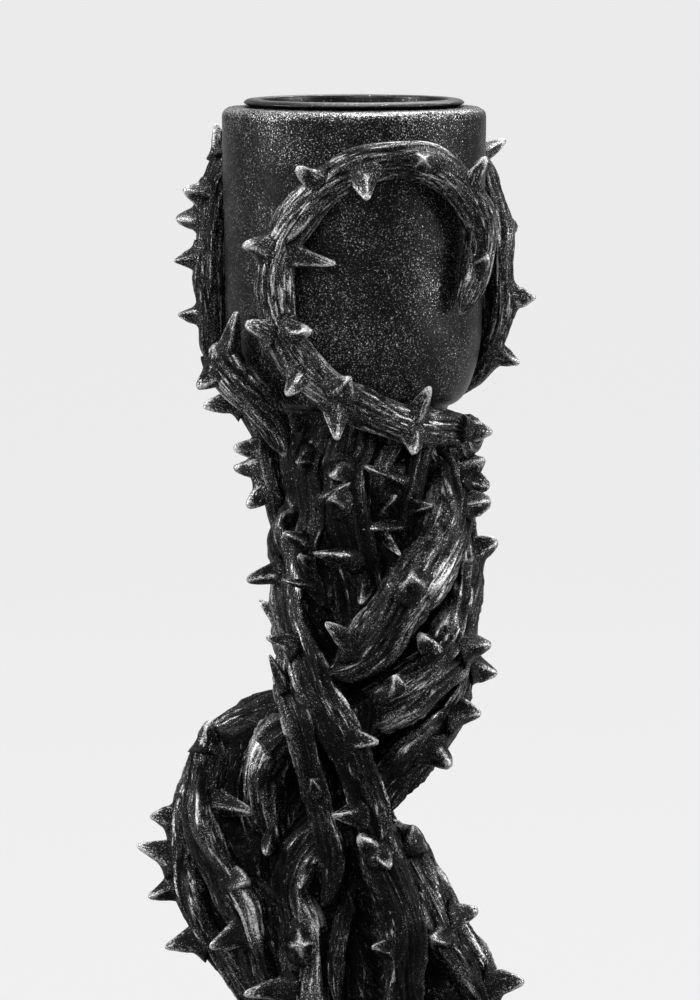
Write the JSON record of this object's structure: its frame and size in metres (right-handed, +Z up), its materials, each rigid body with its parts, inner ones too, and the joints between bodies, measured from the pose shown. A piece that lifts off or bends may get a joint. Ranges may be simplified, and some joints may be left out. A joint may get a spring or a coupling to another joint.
{
  "type": "pricket candle stand",
  "caption": "Candle stand: round cup with a lift-out liner and spike, on a stem of wound thorny vines that spread as roots over a round foot.",
  "frame": {"origin": "on the table, under the middle of the foot and of the cup's axis", "axes": "+Z up, -Y towards the side that the picture shows, +X to its right"},
  "size_m": [0.092, 0.092, 0.169],
  "materials": {
    "black_iron": "black, fine-grained, with silver worn ridges and edges",
    "liner_metal": "dark turned metal, satin",
    "plain_steel": "plain steel, satin",
    "ballast_iron": "raw casting",
    "felt": "matt black felt"
  },
  "bodies": {
    "stand": {"back_vine_side": "black_iron", "back_vine_upper": "black_iron", "ballast_disc": "ballast_iron", "candle_cup": "black_iron", "cross_vine_lower": "black_iron", "cross_vine_middle": "black_iron", "cross_vine_upper": "black_iron", "cup_vine_front": "black_iron", "cup_vine_left": "black_iron", "cup_vine_right": "black_iron", "felt_pad": "felt", "foot_plate": "black_iron", "hip_vine_back": "black_iron", "hip_vine_front": "black_iron", "hip_vine_inner": "black_iron", "hip_vine_thin": "black_iron", "main_vine_front": "black_iron", "neck_vine_curl": "black_iron", "neck_vine_left": "black_iron", "neck_vine_middle": "black_iron", "neck_vine_right": "black_iron", "root_vine_back": "black_iron", "root_vine_right": "black_iron", "root_vine_right_inner": "black_iron", "root_vine_thin": "black_iron", "shoulder_vine": "black_iron", "side_root_1": "black_iron", "side_root_2": "black_iron", "side_root_3": "black_iron", "side_root_4": "black_iron", "side_root_5": "black_iron", "side_root_6": "black_iron", "side_root_7": "black_iron", "side_root_8": "black_iron", "side_root_9": "black_iron", "stem_core": "black_iron", "thin_vine_front": "black_iron", "tie_nuts": "plain_steel", "tie_rod": "plain_steel", "tie_washers": "plain_steel"},
    "liner": {"cup_liner": "liner_metal", "pricket_spike": "plain_steel", "pricket_collar": "plain_steel"}
  },
  "joints": [
    {"name": "liner_lift", "type": "slide", "parent": "stand", "child": "liner", "axis": [0, 0, 1], "range_m": [0, 0.04]}
  ]
}
